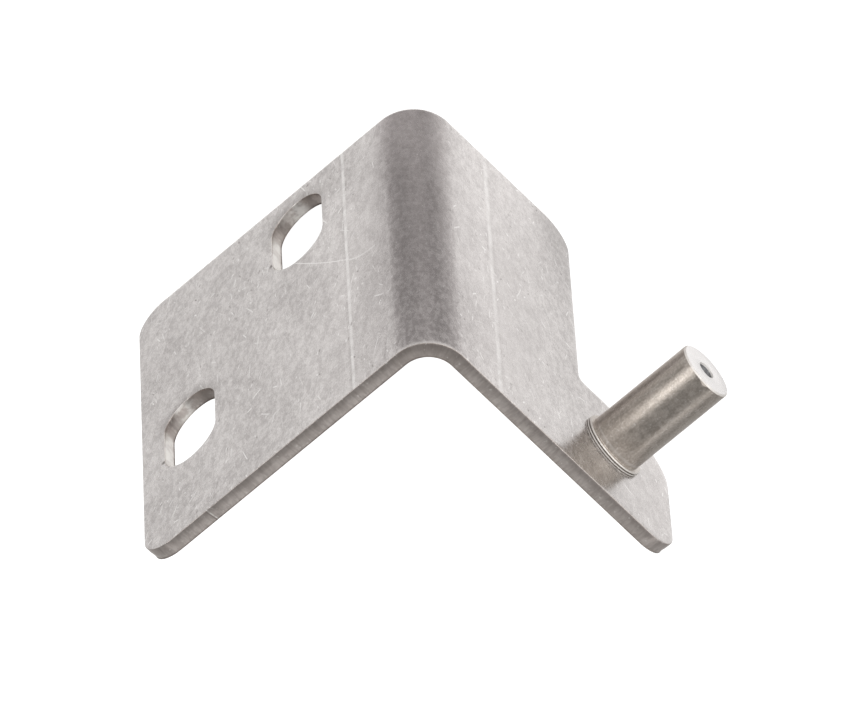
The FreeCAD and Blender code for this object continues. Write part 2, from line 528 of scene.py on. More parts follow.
@dataclass(frozen=True)
class CutWallFinish:
    """The cut edge of the sheet: striped across, smooth next to the outer skin and torn below.

    Attributes:
        bend_start: Where the bend begins along the flat pattern.
        bend_end: Where it ends.
        near_edge: Where the near edge lies across the flat pattern.
        notch: Where the witness notch crosses that edge.
        slots: The slots, whose walls get painted shade round their far ends and painted highlights.
        smooth: The metal of the smooth band.
        torn: The metal of the torn band.
        dark: The bottoms of the stripes and the darker grain, and the painted shade across the bend, round the
            slots' far ends and on one flank of the notch.
        bright: Small bright flecks, and the painted highlights on the slots' walls, on one flank of the notch
            and along the wall's top edge.
        relief: Height of the stripes.
    """

    bend_start: float
    bend_end: float
    near_edge: float
    notch: float
    slots: tuple[Slot, ...]
    smooth: Color = (0.59, 0.532, 0.499)
    torn: Color = (0.72, 0.662, 0.623)
    dark: Color = (0.29, 0.246, 0.222)
    bright: Color = (0.97, 0.94, 0.9)
    relief: float = 0.005 * MM

    def build(self, effects: Effects) -> bpy.types.Material:
        """Make the material."""
        material, graph, shader = new_material("cut_wall")
        flat = graph.add("ShaderNodeUVMap", uv_map="flat").outputs[0]
        depth = graph.add("ShaderNodeAttribute", attribute_name="depth").outputs["Fac"]
        body = graph.add("ShaderNodeTexCoord").outputs["Object"]
        grain = graph.shared(effects.grain, {"Place": body})
        place = graph.split(flat)
        wall = graph.add("ShaderNodeCombineXYZ", {0: place[0], 1: place[1], 2: graph.math(
            "MULTIPLY", depth, 0.3 * MM)}).outputs[0]
        stripes = graph.spread(graph.noise(wall, 3000.0, 3.0, 0.7), 0.4, 0.62)
        ragged = graph.math("MULTIPLY", graph.math("SUBTRACT", graph.noise(flat, 700.0, 3.0), 0.5), 0.5)
        level = graph.math("ADD", depth, ragged)
        tearing = graph.spread(level, 0.12, 0.8)
        color = graph.blend(tearing, self.smooth, self.torn)
        color = graph.blend(graph.math("MULTIPLY", stripes, 0.3), color, self.dark)
        middle, half = (self.bend_start + self.bend_end) / 2, (self.bend_end - self.bend_start) / 2
        # Painted shade: the wall is darker across the bend.
        bend_shade = graph.stripe(place[0], middle, half - 1 * MM, 5 * MM)
        color = graph.blend(graph.math("MULTIPLY", bend_shade, 0.38), color, self.dark)
        color = graph.blend(graph.spread(grain["Mottle"], 0.0, 1.0, 0.16, 0.0), color, self.dark)
        color = graph.blend(graph.spread(grain["Cloud"], 0.2, 0.9, 0.18, 0.0), color, self.dark)
        patches = graph.spread(graph.noise(body, 520.0, 3.0, 0.6), 0.42, 0.6)
        for slot in self.slots:
            # Painted shade round the slot's far end.
            color = graph.blend(self.painted_shade_at_slot_end(graph, place, slot), color, self.dark)
            # Painted highlights on the slot's wall: in patches at its far end and all along its straight run.
            end_highlight = graph.math("MULTIPLY", self.painted_highlight_at_slot_end(graph, place, slot), patches)
            run = graph.math("MULTIPLY", self.painted_highlight_along_slot(graph, place, slot),
                             graph.math("MULTIPLY_ADD", patches, 0.4, 0.6))
            color = graph.blend(graph.math("MAXIMUM", end_highlight, run), color, self.bright)
        # Painted shade on one flank of the witness notch.
        shaded = graph.math("MULTIPLY", self.notch_line(graph, place, depth, -0.2 * MM), 0.7)
        color = graph.blend(shaded, color, self.dark)
        spots_and_highlights = graph.spread(graph.noise(body, 1900.0, 2.0), 0.62, 0.76, 0.0, 0.5)
        # Painted highlight, beaded, on the other flank of the notch.
        beaded = graph.spread(graph.noise(body, 2600.0, 2.0), 0.35, 0.6, 0.25, 0.9)
        lit = graph.math("MULTIPLY", self.notch_line(graph, place, depth, 0.0), beaded)
        spots_and_highlights = graph.math("MAXIMUM", spots_and_highlights, lit)
        # Painted highlight along the wall's top edge, where it rounds over into the outer skin.
        spots_and_highlights = graph.math("MAXIMUM", spots_and_highlights, graph.spread(depth, 0.0, 0.05, 0.8, 0.0))
        graph.feed(shader.inputs["Base Color"], graph.blend(spots_and_highlights, color, self.bright))
        rough = graph.math("ADD", 0.34, graph.math("MULTIPLY", tearing, 0.12))
        graph.feed(shader.inputs["Roughness"], rough)
        height = graph.math("ADD", stripes, graph.math("MULTIPLY", grain["Grain"], 0.5))
        bump = graph.add("ShaderNodeBump", {"Strength": 1.0, "Distance": self.relief, "Height": height})
        graph.feed(shader.inputs["Normal"], bump.outputs[0])
        return material

    def painted_shade_at_slot_end(self, graph: NodeGraph, place: bpy.types.bpy_prop_collection,
                   slot: Slot) -> bpy.types.NodeSocket:
        """Painted shade on a slot's wall round its far end, on the side of the bend."""
        end = slot.across - slot.length / 2
        low_part = graph.stripe(place[1], end, slot.radius * 0.5, slot.radius * 0.7)
        side = graph.stripe(place[0], slot.along + slot.radius * 0.75, slot.radius * 0.4, slot.radius * 0.7)
        return graph.math("MULTIPLY", graph.math("MULTIPLY", low_part, side), 0.7)

    def painted_highlight_at_slot_end(self, graph: NodeGraph, place: bpy.types.bpy_prop_collection,
                      slot: Slot) -> bpy.types.NodeSocket:
        """Painted highlight on a slot's wall in patches: in the middle of its far end."""
        end = slot.across - slot.length / 2
        low_part = graph.stripe(place[1], end, slot.radius * 0.3, slot.radius * 0.5)
        middle = graph.stripe(place[0], slot.along - slot.radius * 0.25, slot.radius * 0.2, slot.radius * 0.4)
        return graph.math("MULTIPLY", graph.math("MULTIPLY", low_part, middle), 0.75)

    def painted_highlight_along_slot(self, graph: NodeGraph, place: bpy.types.bpy_prop_collection,
                      slot: Slot) -> bpy.types.NodeSocket:
        """Painted highlight all along a slot's wall: its straight run on the free end's side."""
        half_run = slot.length / 2 - slot.radius
        side = graph.stripe(place[0], slot.along - slot.radius, slot.radius * 0.02, slot.radius * 0.06)
        run = graph.stripe(place[1], slot.across, half_run, slot.radius * 0.3)
        return graph.math("MULTIPLY", graph.math("MULTIPLY", side, run), 0.9)

    def notch_line(self, graph: NodeGraph, place: bpy.types.bpy_prop_collection,
                   depth: bpy.types.NodeSocket, offset: float) -> bpy.types.NodeSocket:
        """A flank of the witness notch, at an offset from its middle and on the near edge only."""
        slant = graph.math("MULTIPLY_ADD", depth, -0.25 * MM, 0.3 * MM)
        line = graph.stripe(graph.math("ADD", place[0], slant), self.notch + offset, 0.03 * MM, 0.1 * MM)
        return graph.math("MULTIPLY", line, graph.math("GREATER_THAN", place[1], self.near_edge - 1 * MM))


@dataclass(frozen=True)
class TurnedFinish:
    """The pin's turned side, a little warmer and darker than the sheet.

    Attributes:
        groove: The middle of the collar's groove, along the axis.
        foot: Where the collar meets the plate.
        bevel: The middle of the collar's bevel.
        tip_rim: The middle of the rim round the tip.
        name: The material's name.
        dark: The metal in the darker patches.
        light: The metal in the lighter ones.
        bright: Rubbed specks, the tool's rings, and the painted highlights on the collar's bevel, beside its
            foot and on the tip's rim.
        crease_shade: Painted shade in the collar's groove and at its foot.
        roughness: The side's mean roughness.
        relief: Height of the grain and the turning marks.
    """

    groove: float
    foot: float
    bevel: float
    tip_rim: float
    name: str = "turned_pin"
    dark: Color = (0.425, 0.375, 0.327)
    light: Color = (0.6, 0.546, 0.494)
    bright: Color = (0.93, 0.902, 0.87)
    crease_shade: Color = (0.1, 0.085, 0.075)
    roughness: float = 0.34
    relief: float = 0.0036 * MM

    def build(self, effects: Effects) -> bpy.types.Material:
        """Make the material."""
        material, graph, shader = new_material(self.name)
        body = graph.add("ShaderNodeTexCoord").outputs["Object"]
        grain = graph.shared(effects.grain, {"Place": body})
        drawn = graph.noise(graph.scaled(body, (0.12, 1.0, 1.0)), 1700.0, 3.0, 0.6)
        tone = graph.math("ADD", graph.math("MULTIPLY", grain["Grain"], 0.55),
                          graph.math("MULTIPLY", grain["Mottle"], 0.2))
        tone = graph.math("ADD", tone, graph.math("MULTIPLY", graph.spread(drawn, 0.3, 0.7), 0.25))
        color = graph.blend(tone, self.dark, self.light)
        rings = self.rings(graph, body)
        color = graph.blend(graph.math("MULTIPLY", rings, 0.3), color, self.bright)
        specks = graph.spread(graph.noise(body, 3300.0, 1.0), 0.62, 0.76, 0.0, 0.35)
        color = graph.blend(specks, color, self.bright)
        # Painted highlights on the collar's bevel, beside its foot and on the tip's rim.
        painted_rim_highlights = self.painted_rim_highlights(graph, body)
        color = graph.blend(painted_rim_highlights, color, self.bright)
        # Painted shade in the collar's groove and at its foot, where the collar meets the plate.
        color = graph.blend(self.painted_crease_shade(graph, body), color, self.crease_shade)
        graph.feed(shader.inputs["Base Color"], color)
        rough = graph.math("ADD", self.roughness - 0.05, graph.math("MULTIPLY", grain["Mottle"], 0.1))
        rough = graph.math("ADD", rough, graph.math("MULTIPLY", painted_rim_highlights, 0.3))
        graph.feed(shader.inputs["Roughness"], rough)
        height = graph.math("ADD", grain["Grain"], graph.math("MULTIPLY", rings, 0.8))
        bump = graph.add("ShaderNodeBump", {"Strength": 1.0, "Distance": self.relief, "Height": height})
        graph.feed(shader.inputs["Normal"], bump.outputs[0])
        return material

    def painted_rim_highlights(self, graph: NodeGraph, body: bpy.types.NodeSocket) -> bpy.types.NodeSocket:
        """Painted highlights on the collar's bevel, beside its foot and on the tip's rim."""
        along = graph.split(body)[0]
        bevel = graph.stripe(along, self.bevel, 0.06 * MM, 0.02 * MM)
        rim = graph.math("MULTIPLY", graph.stripe(along, self.tip_rim, 0.1 * MM, 0.02 * MM), 0.75)
        foot = graph.math("MULTIPLY", graph.stripe(along, (self.foot + self.groove) / 2, 0.06 * MM,
                                                   0.04 * MM), 0.85)
        return graph.math("MAXIMUM", graph.math("MAXIMUM", graph.math("MULTIPLY", bevel, 0.6), rim), foot)

    def painted_crease_shade(self, graph: NodeGraph, body: bpy.types.NodeSocket) -> bpy.types.NodeSocket:
        """Painted shade in the collar's groove and at its foot."""
        along = graph.split(body)[0]
        groove = graph.stripe(along, self.groove, 0.05 * MM, 0.06 * MM)
        foot = graph.stripe(along, self.foot, 0.03 * MM, 0.06 * MM)
        return graph.math("MULTIPLY", graph.math("MAXIMUM", groove, foot), 0.75)

    def rings(self, graph: NodeGraph, body: bpy.types.NodeSocket) -> bpy.types.NodeSocket:
        """The tool's rings, clear at the pin's foot and gone further out."""
        along = graph.split(body)[0]
        lines = graph.noise(graph.scaled(body, (1.0, 0.03, 0.03)), 2600.0, 1.0)
        foot = graph.spread(along, 0.4 * MM, 1.3 * MM, 1.0, 0.05)
        return graph.math("MULTIPLY", foot, graph.spread(lines, 0.5, 0.68))


@dataclass(frozen=True)
class FacedTipFinish:
    """The pin's faced tip: bright metal with fine rings round its axis.

    Attributes:
        dark: The metal between the rings.
        light: The metal of the rings.
        roughness: The face's mean roughness.
        rings_per_metre: How closely the rings follow each other.
        relief: Height of the rings.
    """

    dark: Color = (0.83, 0.814, 0.802)
    light: Color = (0.885, 0.872, 0.862)
    roughness: float = 0.22
    rings_per_metre: float = 4200.0
    relief: float = 0.0004 * MM

    def build(self, effects: Effects) -> bpy.types.Material:
        """Make the material."""
        material, graph, shader = new_material("faced_tip")
        body = graph.add("ShaderNodeTexCoord").outputs["Object"]
        grain = graph.shared(effects.grain, {"Place": body})
        radius = graph.add("ShaderNodeVectorMath", {0: graph.scaled(body, (0.0, 1.0, 1.0))},
                           operation="LENGTH").outputs["Value"]
        rings = graph.noise(graph.add("ShaderNodeCombineXYZ", {0: radius}).outputs[0],
                            self.rings_per_metre, 2.0)
        tone = graph.math("ADD", graph.math("MULTIPLY", rings, 0.6),
                          graph.math("MULTIPLY", grain["Grain"], 0.4))
        graph.feed(shader.inputs["Base Color"], graph.blend(tone, self.dark, self.light))
        graph.feed(shader.inputs["Roughness"],
                   graph.math("ADD", self.roughness, graph.math("MULTIPLY", grain["Mottle"], 0.08)))
        bump = graph.add("ShaderNodeBump", {"Strength": 1.0, "Distance": self.relief, "Height": rings})
        graph.feed(shader.inputs["Normal"], bump.outputs[0])
        return material


def finished_object(name: str, bm: bmesh.types.BMesh, materials: Iterable[bpy.types.Material],
                    node: str) -> bpy.types.Object:
    """Turn a bmesh into a piece that stands for a CAD node.

    Args:
        name: The piece's name.
        bm: Its shape, which is freed.
        materials: Its materials, in the order of its faces' numbers.
        node: The CAD node that it replaces.

    Returns:
        The piece.
    """
    bmesh.ops.remove_doubles(bm, verts=bm.verts[:], dist=MERGE_DISTANCE)
    bmesh.ops.recalc_face_normals(bm, faces=bm.faces[:])
    for face in bm.faces:
        face.smooth = True
    mesh = bpy.data.meshes.new(name)
    bm.to_mesh(mesh)
    bm.free()
    piece = bpy.data.objects.new(name, mesh)
    bpy.context.scene.collection.objects.link(piece)
    for material in materials:
        mesh.materials.append(material)
    weighted = piece.modifiers.new("even_shading", "WEIGHTED_NORMAL")
    weighted.weight = 80
    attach(piece, "root")
    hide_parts(node)
    return piece


def subdivide_long_edges(bm: bmesh.types.BMesh, edges: Iterable[bmesh.types.BMEdge],
                         pitch: float) -> None:
    """Divide each edge that is longer than a pitch into even steps.

    Args:
        bm: The mesh.
        edges: The edges to look at.
        pitch: The step to aim for.
    """
    for edge in list(edges):
        steps = round(edge.calc_length() / pitch)
        if steps > 1:
            bmesh.ops.subdivide_edges(bm, edges=[edge], cuts=steps - 1)


def keep_flat_places(bm: bmesh.types.BMesh) -> None:
    """Keep each corner's place in the flat pattern as its place on the UV map "flat", in metres."""
    flat = bm.loops.layers.uv.new("flat")
    for face in bm.faces:
        for loop in face.loops:
            loop[flat].uv = loop.vert.co.xy


@dataclass
class HingeBracket:
    """The folded plate: slotted flange, bend, pin flange and tab.

    It is made flat first. Along the flat pattern runs over the outer skin from the slotted
    flange's free end, round the bend, to the tab's end. Across it is the place along the fold.
    Depth goes from the outer skin, 0, to the inner one, 1 sheet thickness below.

    Attributes:
        low: Lowest corner of the bracket's box.
        high: Highest corner of that box.
        slots: The two slots and the hole for the pin's tail.
        sheet: Sheet thickness.
        bend_inner: Inner radius of the bend.
        pin_flange: Length of the pin flange beside the tab.
        tab_height: The tab's width along the fold.
        corner: Radius of the plain corners.
        tab_corner: Radius of the tab's far corner.
        step_fillet: Radius in the corner between the step and the tab.
        rim_pitch: Step between the points of a cut edge.
        skin_pitch: Step between the lines that divide the flat skin.
        bend_pitch: Step between the lines that divide the bend.
        rim_rings: Widths of the bands of faces beside a cut edge, where the skin rolls in.
        outer_break: Rounding where the skin rolls over into the cut.
        inner_break: Rounding of the other edge of the cut.
        roll_in: How far the outer skin sinks at a cut edge.
        lean: How far the torn part of the wall leans in.
        raggedness: How uneven the cut walls are.
        waist: How far the outer skin draws in at the bend's two ends.
        notch_from_end: From the free end to the witness notch in the near edge.
        notch_half_width: Half that notch's width.
        notch_depth: Its depth.
    """

    low: Vector
    high: Vector
    slots: list[Slot]
    node: str = "hinge_bracket"
    slot: str = "bracket_steel"
    sheet: float = 2.0 * MM
    bend_inner: float = 4.0 * MM
    pin_flange: float = 28.6 * MM
    tab_height: float = 24.4 * MM
    corner: float = 4.5 * MM
    tab_corner: float = 7.0 * MM
    step_fillet: float = 1.0 * MM
    rim_pitch: float = 0.3 * MM
    skin_pitch: float = 1.6 * MM
    bend_pitch: float = 0.35 * MM
    rim_rings: tuple[float, ...] = (0.15 * MM, 0.2 * MM, 0.25 * MM, 0.3 * MM)
    outer_break: float = 0.085 * MM
    inner_break: float = 0.05 * MM
    roll_in: float = 0.07 * MM
    lean: float = 0.14 * MM
    raggedness: float = 0.025 * MM
    waist: float = 0.1 * MM
    notch_from_end: float = 10.7 * MM
    notch_half_width: float = 0.22 * MM
    notch_depth: float = 0.07 * MM

    def __post_init__(self) -> None:
        """Work out the flat pattern's main places."""
        self.bend_outer = self.bend_inner + self.sheet
        self.bend_x = self.high.x - self.bend_outer
        self.bend_y = self.high.y - self.bend_outer
        self.bend_start = self.bend_x - self.low.x
        self.bend_end = self.bend_start + self.bend_outer * math.pi / 2
        self.step = self.bend_end + self.pin_flange - self.bend_outer
        self.end = self.bend_end + self.bend_y - self.low.y

    def build(self, effects: Effects) -> bpy.types.Object:
        """Make the bracket and dress it."""
        bm = self.flat_skin()
        self.thicken(bm)
        self.work_the_edges(bm)
        self.mark_skin(bm)
        self.fold(bm)
        slots = tuple(slot for slot in self.slots if slot.length > 2 * slot.radius)
        materials = (RolledSheetFinish(self.bend_start, self.bend_end, slots).build(effects),
                     CutWallFinish(self.bend_start, self.bend_end, self.high.z, self.notch_from_end,
                                   slots).build(effects))
        return finished_object("sheet_bracket", bm, materials, self.node)

    def flat_skin(self) -> bmesh.types.BMesh:
        """The outer skin laid flat, with rounded corners, slots and the bands beside its edges."""
        bm = bmesh.new()
        self.outline(bm)
        for slot in self.slots:
            self.slot_rim(bm, slot)
        bmesh.ops.triangle_fill(bm, use_beauty=True, edges=bm.edges[:], normal=(0, 0, 1))
        near_rim = bm.verts.layers.float.new("near_rim")
        for vert in bm.verts:
            vert[near_rim] = 1.0
        inner = bm.faces[:]
        reach = 0.0
        for width in self.rim_rings:
            bmesh.ops.inset_region(bm, faces=inner, use_boundary=True, use_even_offset=True,
                                   thickness=width)
            reach += width
            for vert in {vert for face in inner for vert in face.verts}:
                vert[near_rim] = round(1.0 - reach / sum(self.rim_rings), 6)
        self.divide_skin(bm, inner)
        return bm

    def outline(self, bm: bmesh.types.BMesh) -> None:
        """Draw the plate's rounded outline as edges."""
        near, far = self.high.z, self.low.z
        tab_far = near - self.tab_height
        corners = {(0, near): self.corner, (self.end, near): self.corner,
                   (self.end, tab_far): self.tab_corner, (self.step, tab_far): self.step_fillet,
                   (self.step, far): self.corner, (0, far): self.corner}
        verts = [bm.verts.new((along, across, 0)) for along, across in corners]
        bm.faces.new(verts)
        for vert, radius in zip(verts, corners.values()):
            steps = max(4, round(radius * math.pi / 2 / self.rim_pitch))
            bmesh.ops.bevel(bm, geom=[vert], offset=radius, offset_type="OFFSET", segments=steps,
                            profile=0.5, affect="VERTICES", material=-1)
        subdivide_long_edges(bm, bm.edges, self.rim_pitch)
        bmesh.ops.delete(bm, geom=bm.faces[:], context="FACES_ONLY")

    def slot_rim(self, bm: bmesh.types.BMesh, slot: Slot) -> None:
        """Draw a slot's rim as edges: two half circles and the straight runs between them."""
        half_run = slot.length / 2 - slot.radius
        steps = round(slot.radius * math.pi / self.rim_pitch)
        ends = []
        for side in (1, -1):
            centre = (slot.along, slot.across + side * half_run, 0)
            first = bm.verts.new((slot.along + side * slot.radius, centre[1], 0))
            spun = bmesh.ops.spin(bm, geom=[first], cent=centre, axis=(0, 0, 1), angle=math.pi,
                                  steps=steps)
            last = next(part for part in spun["geom_last"] if isinstance(part, bmesh.types.BMVert))
            ends += [first, last]
        if half_run < MERGE_DISTANCE:
            bmesh.ops.remove_doubles(bm, verts=ends, dist=MERGE_DISTANCE)
            return
        runs = [bm.edges.new((ends[1], ends[2])), bm.edges.new((ends[3], ends[0]))]
        subdivide_long_edges(bm, runs, self.rim_pitch)

    def divide_skin(self, bm: bmesh.types.BMesh, inner: list[bmesh.types.BMFace]) -> None:
        """Divide the skin inside the bands with straight lines, closer together in the bend.

        Args:
            bm: The flat skin.
            inner: The faces inside the bands.
        """
        kept = set(inner)
        seams = {edge for face in inner for edge in face.edges
                 if all(other in kept for other in edge.link_faces)}
        bmesh.ops.dissolve_limit(bm, angle_limit=math.radians(1), verts=[], edges=list(seams))
        band = bm.verts.layers.float["near_rim"]
        inner = [face for face in bm.faces if all(vert[band] == 0.0 for vert in face.verts)]
        for axis, places in ((0, self.lines_along()), (1, self.lines_across())):
            for place in places:
                normal = Vector((1, 0, 0)) if axis == 0 else Vector((0, 1, 0))
                crossed = [face for face in inner if face.is_valid and self.crosses(face, axis, place)]
                if not crossed:
                    continue
                parts = set(crossed)
                for face in crossed:
                    parts.update(face.edges)
                    parts.update(face.verts)
                bmesh.ops.bisect_plane(bm, geom=list(parts), dist=MERGE_DISTANCE,
                                       plane_co=normal * place, plane_no=normal)
                inner = [face for face in bm.faces if all(vert[band] == 0.0 for vert in face.verts)]

    def crosses(self, face: bmesh.types.BMFace, axis: int, place: float) -> bool:
        """Whether a face lies on both sides of a dividing line."""
        reach = [vert.co[axis] for vert in face.verts]
        return min(reach) < place - MERGE_DISTANCE and max(reach) > place + MERGE_DISTANCE

    def lines_along(self) -> list[float]:
        """Places of the lines that run across the flat pattern."""
        spans = ((0.0, self.bend_start, self.skin_pitch), (self.bend_start, self.bend_end, self.bend_pitch),
                 (self.bend_end, self.end, self.skin_pitch))
        places = []
        for start, end, pitch in spans:
            steps = round((end - start) / pitch)
            places += [start + (end - start) * step / steps for step in range(1, steps + 1)]
        return places[:-1]

    def lines_across(self) -> list[float]:
        """Places of the lines that run along the flat pattern."""
        steps = round((self.high.z - self.low.z) / self.skin_pitch)
        height = self.high.z - self.low.z
        return [self.low.z + height * step / steps for step in range(1, steps)]

    def thicken(self, bm: bmesh.types.BMesh) -> None:
        """Give the flat skin its thickness, round the rims and divide the cut walls."""
        skin = bm.faces[:]
        made = bmesh.ops.extrude_face_region(bm, geom=skin)["geom"]
        bmesh.ops.translate(bm, vec=(0, 0, -self.sheet),
                            verts=[part for part in made if isinstance(part, bmesh.types.BMVert)])
        bmesh.ops.recalc_face_normals(bm, faces=bm.faces[:])
        for level, size in ((0.0, self.outer_break), (-self.sheet, self.inner_break)):
            rim = [edge for edge in bm.edges if self.is_rim(edge, level)]
            bmesh.ops.bevel(bm, geom=rim, offset=size, offset_type="OFFSET", segments=3, profile=0.5,
                            affect="EDGES", material=-1)
        upright = [edge for edge in bm.edges
                   if abs(edge.verts[0].co.z - edge.verts[1].co.z) > self.sheet / 2]
        bmesh.ops.subdivide_edges(bm, edges=upright, cuts=7, use_grid_fill=True)
        bm.normal_update()
        for face in bm.faces:
            flat = abs(face.normal.z) > 0.999
            face.material_index = (Skin.ROLLED_FACE if flat else Skin.CUT_WALL).value

    def is_rim(self, edge: bmesh.types.BMEdge, level: float) -> bool:
        """Whether an edge lies at a skin's height between that skin and a wall."""
        if any(abs(vert.co.z - level) > MERGE_DISTANCE for vert in edge.verts):
            return False
        return any(abs(face.normal.z) < 0.5 for face in edge.link_faces)

    def work_the_edges(self, bm: bmesh.types.BMesh) -> None:
        """Shape the cut: the skin rolls in, the torn part leans, and nothing is quite even."""
        near_rim = bm.verts.layers.float["near_rim"]
        bm.normal_update()
        moves = {}
        for vert in bm.verts:
            depth = -vert.co.z / self.sheet
            move = Vector((0, 0, 0))
            wall = vert.normal.copy()
            wall.z = 0.0
            if wall.length > 0.3:
                wall.normalize()
                move -= wall * self.inward(vert.co, depth)
            if depth < 0.5:
                move.z -= self.roll_in * vert[near_rim] ** 2
            moves[vert] = move
        for vert, move in moves.items():
            vert.co += move

    def inward(self, place: Vector, depth: float) -> float:
        """How far a point of the cut wall lies inside the drawn outline.

        Args:
            place: The point in the flat pattern.
            depth: Its depth in sheet thicknesses.

        Returns:
            The distance, which is never negative.
        """
        along_wall = noise.noise(Vector((place.x, place.y, 0)) / (1.3 * MM))
        over_wall = noise.noise(place / (0.5 * MM))
        rough = self.raggedness * (1.0 + 0.6 * along_wall + 0.4 * over_wall)
        torn = max(0.0, depth - 0.35) / 0.65
        distance = rough * (0.4 + 0.6 * min(1.0, depth * 2)) + self.lean * torn ** 1.5
        on_near_edge = place.y > self.high.z - self.sheet / 2
        slant = (depth - 0.5) * 0.25 * MM
        if on_near_edge:
            reach = abs(place.x - self.notch_from_end - slant) / self.notch_half_width
            distance += self.notch_depth * max(0.0, 1.0 - reach / 1.5)
        return max(0.0, distance)

    def mark_skin(self, bm: bmesh.types.BMesh) -> None:
        """Keep each point's place in the flat pattern for the finishes."""
        depth = bm.verts.layers.float.new("depth")
        for vert in bm.verts:
            vert[depth] = min(1.0, max(0.0, -vert.co.z / self.sheet))
        keep_flat_places(bm)

    def place_in_fold(self, along: float) -> tuple[float, float, float]:
        """Where a place along the flat pattern comes to lie once the plate is folded.

        Args:
            along: The place.

        Returns:
            How far round the bend it is in radians, how far before the bend (negative) and how far after.
        """
        turn = min(max((along - self.bend_start) / self.bend_outer, 0.0), math.pi / 2)
        return turn, min(along - self.bend_start, 0.0), max(along - self.bend_end, 0.0)

    def fold(self, bm: bmesh.types.BMesh) -> None:
        """Fold the flat plate round the bend and put it in the part's frame."""
        for vert in bm.verts:
            along, across, depth = vert.co.x, vert.co.y, -vert.co.z
            turn, before, after = self.place_in_fold(along)
            reach = self.bend_outer - depth
            across -= self.drawn_in(along, across, depth, turn)
            vert.co = (self.bend_x + before + reach * math.sin(turn),
                       self.bend_y - after + reach * math.cos(turn), across)

    def drawn_in(self, along: float, across: float, depth: float, turn: float) -> float:
        """How far the bend's stretched outer skin draws in at the fold's two ends."""
        middle = (self.high.z + self.low.z) / 2
        half = (self.high.z - self.low.z) / 2
        near_end = max(0.0, (abs(across - middle) - half + 3 * MM) / (3 * MM))
        share = math.sin(2 * turn) * (1 - depth / self.sheet) * near_end ** 2
        return math.copysign(self.waist * share, across - middle)


